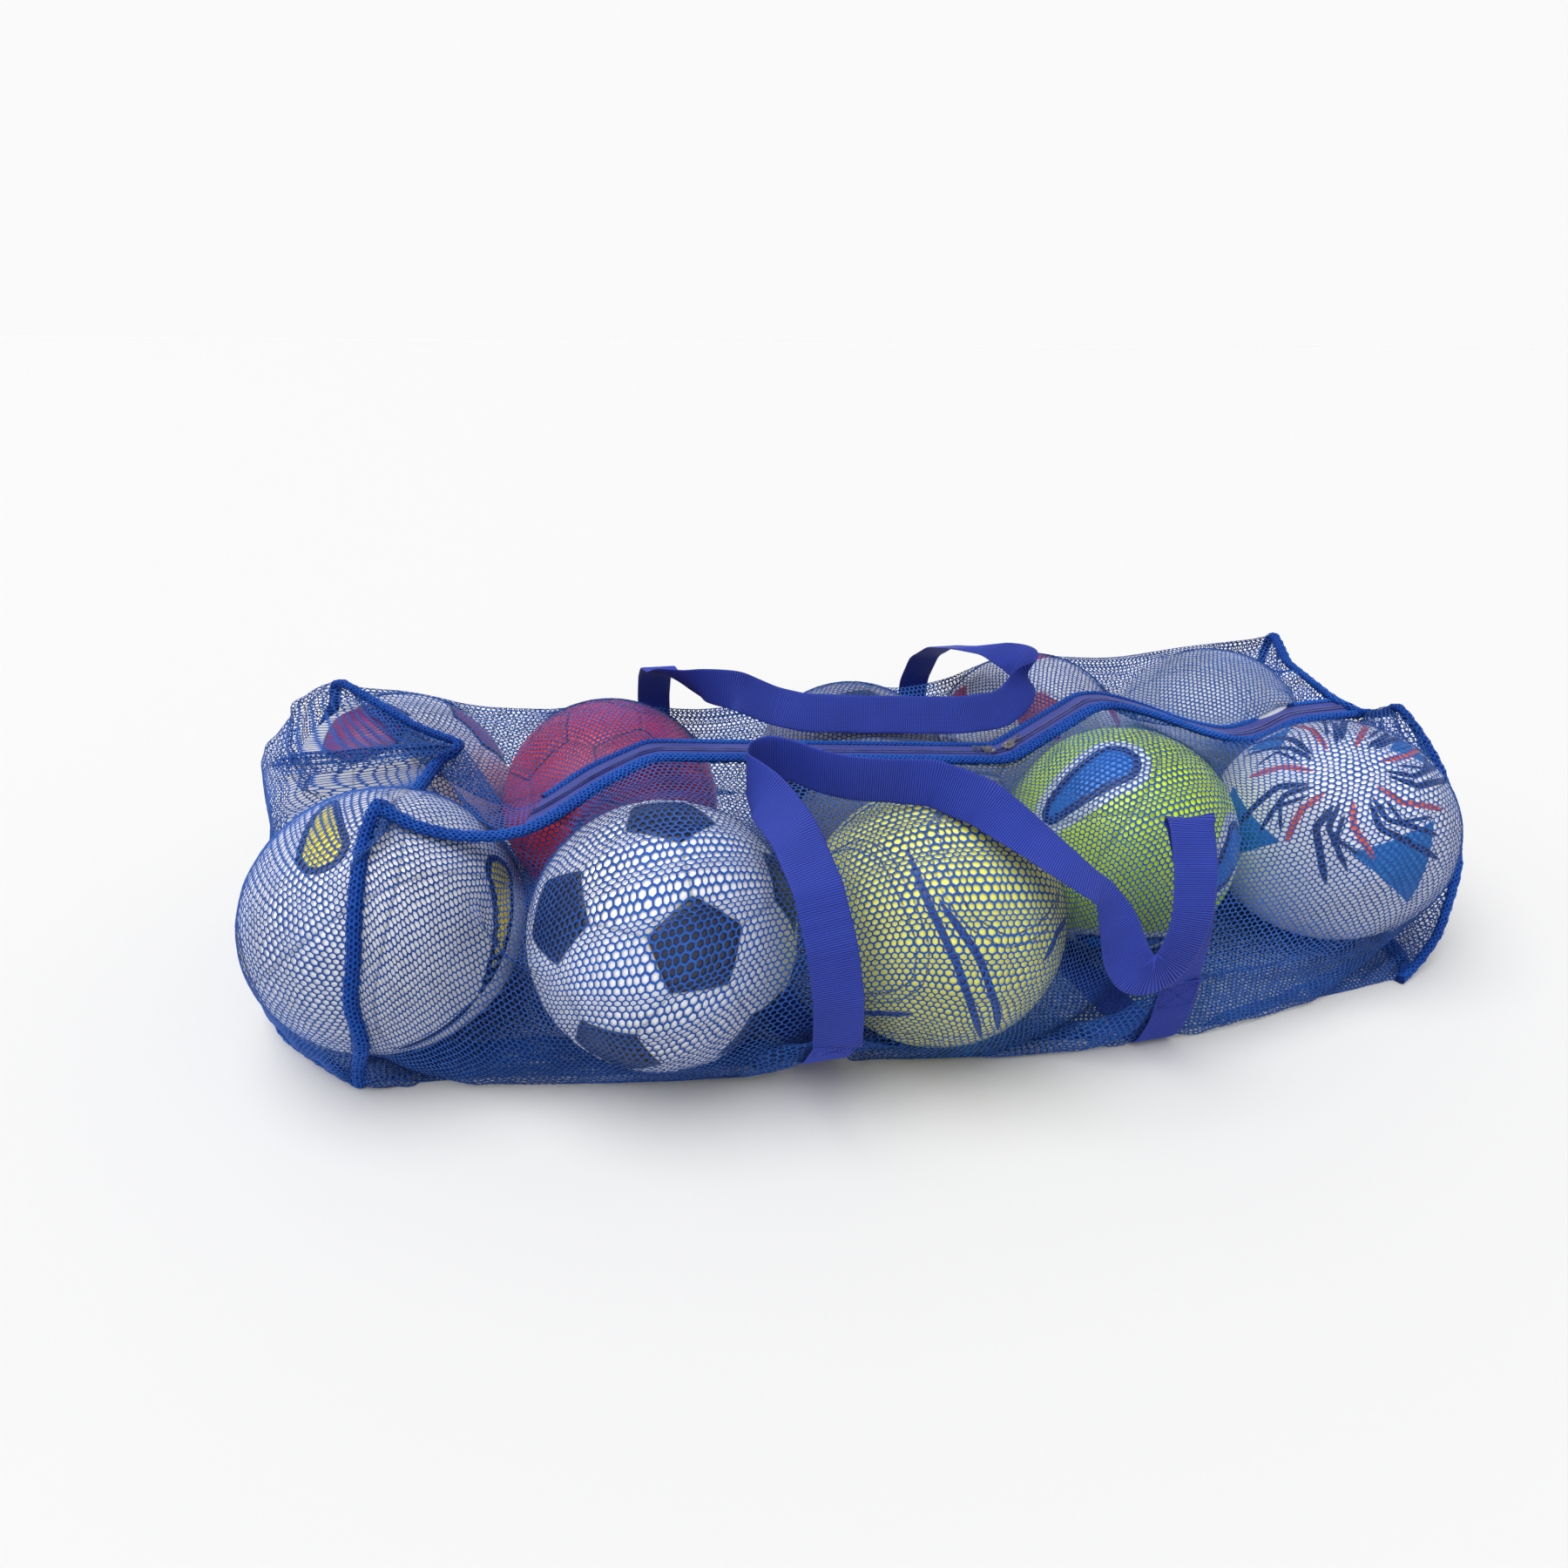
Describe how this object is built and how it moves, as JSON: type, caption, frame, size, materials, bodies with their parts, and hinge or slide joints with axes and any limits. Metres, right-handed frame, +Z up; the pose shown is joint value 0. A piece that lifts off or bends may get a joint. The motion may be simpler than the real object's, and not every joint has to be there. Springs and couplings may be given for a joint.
{
  "type": "mesh ball bag",
  "caption": "Long zipped carry bag of open hexagonal net with two webbing handles, lying on the floor filled with footballs.",
  "frame": {"origin": "middle of the rest face on the floor, between the two rows of balls", "axes": "+X along the bag and its zip, -Y the front side, +Z up"},
  "size_m": [1.1795, 0.5497, 0.265],
  "materials": {
    "net": "knitted polyester, open hexagons",
    "rolled_net": "net folded on itself and stitched",
    "webbing": "ribbed polyester webbing",
    "zip_tape": "fine herringbone tape",
    "zip_coil": "nylon coil",
    "thread": "sewing thread",
    "zip_metal": "die-cast, plated",
    "cover_front_1": "synthetic leather, white, teardrop patches",
    "cover_front_2": "synthetic leather, white with dark pentagons",
    "cover_front_3": "synthetic leather, pale yellow, dark seams",
    "cover_front_4": "synthetic leather, lime, blue patches",
    "cover_front_5": "synthetic leather, white, blue and red patches",
    "cover_back_1": "synthetic leather, white, purple patches",
    "cover_back_2": "synthetic leather, coral red, dark lines",
    "cover_back_3": "synthetic leather, pale grey, dark and red marks",
    "cover_back_4": "synthetic leather, white, red patches",
    "cover_back_5": "synthetic leather, pale grey, blue lines"
  },
  "bodies": {
    "bag": {"front_panel": "net", "back_panel": "net", "bottom_panel": "net", "left_end_panel": "net", "right_end_panel": "net", "left_end_seam": "rolled_net", "right_end_seam": "rolled_net", "front_zip_hem": "rolled_net", "back_zip_hem": "rolled_net", "front_zip_tape": "zip_tape", "back_zip_tape": "zip_tape", "front_zip_coil": "zip_coil", "back_zip_coil": "zip_coil", "left_band": "webbing", "right_band": "webbing", "band_tacks": "thread", "ball_front_1": "cover_front_1", "ball_front_2": "cover_front_2", "ball_front_3": "cover_front_3", "ball_front_4": "cover_front_4", "ball_front_5": "cover_front_5", "ball_back_1": "cover_back_1", "ball_back_2": "cover_back_2", "ball_back_3": "cover_back_3", "ball_back_4": "cover_back_4", "ball_back_5": "cover_back_5"},
    "front_handle": {"front_handle": "webbing"},
    "back_handle": {"back_handle": "webbing"},
    "left_slider": {"left_slider": "zip_metal"},
    "left_pull": {"left_pull": "zip_metal"},
    "right_slider": {"right_slider": "zip_metal"},
    "right_pull": {"right_pull": "zip_metal"}
  },
  "joints": [
    {"name": "front_handle_swing", "type": "hinge", "parent": "bag", "child": "front_handle", "pos_m": [-0.10796, -0.2735, 0.085], "axis": [0.9992, 0.0411, 0], "range_deg": [0, 95]},
    {"name": "back_handle_swing", "type": "hinge", "parent": "bag", "child": "back_handle", "pos_m": [0.141, 0.2623, 0.085], "axis": [-1, 0.0074, 0], "range_deg": [0, 95]},
    {"name": "left_slider_run", "type": "slide", "parent": "bag", "child": "left_slider", "axis": [-0.9946, 0.0812, 0.0647], "range_m": [0, 0.323]},
    {"name": "left_pull_swing", "type": "hinge", "parent": "left_slider", "child": "left_pull", "pos_m": [0.11484, -0.0169, 0.19272], "axis": [0.081, 0.9967, -0.0053], "range_deg": [0, 130]},
    {"name": "right_slider_run", "type": "slide", "parent": "bag", "child": "right_slider", "axis": [0.8984, 0.3839, 0.2135], "range_m": [0, 0.109]},
    {"name": "right_pull_swing", "type": "hinge", "parent": "right_slider", "child": "right_pull", "pos_m": [0.13891, -0.01278, 0.1946], "axis": [0.3735, -0.9234, 0.0887], "range_deg": [0, 130]}
  ]
}
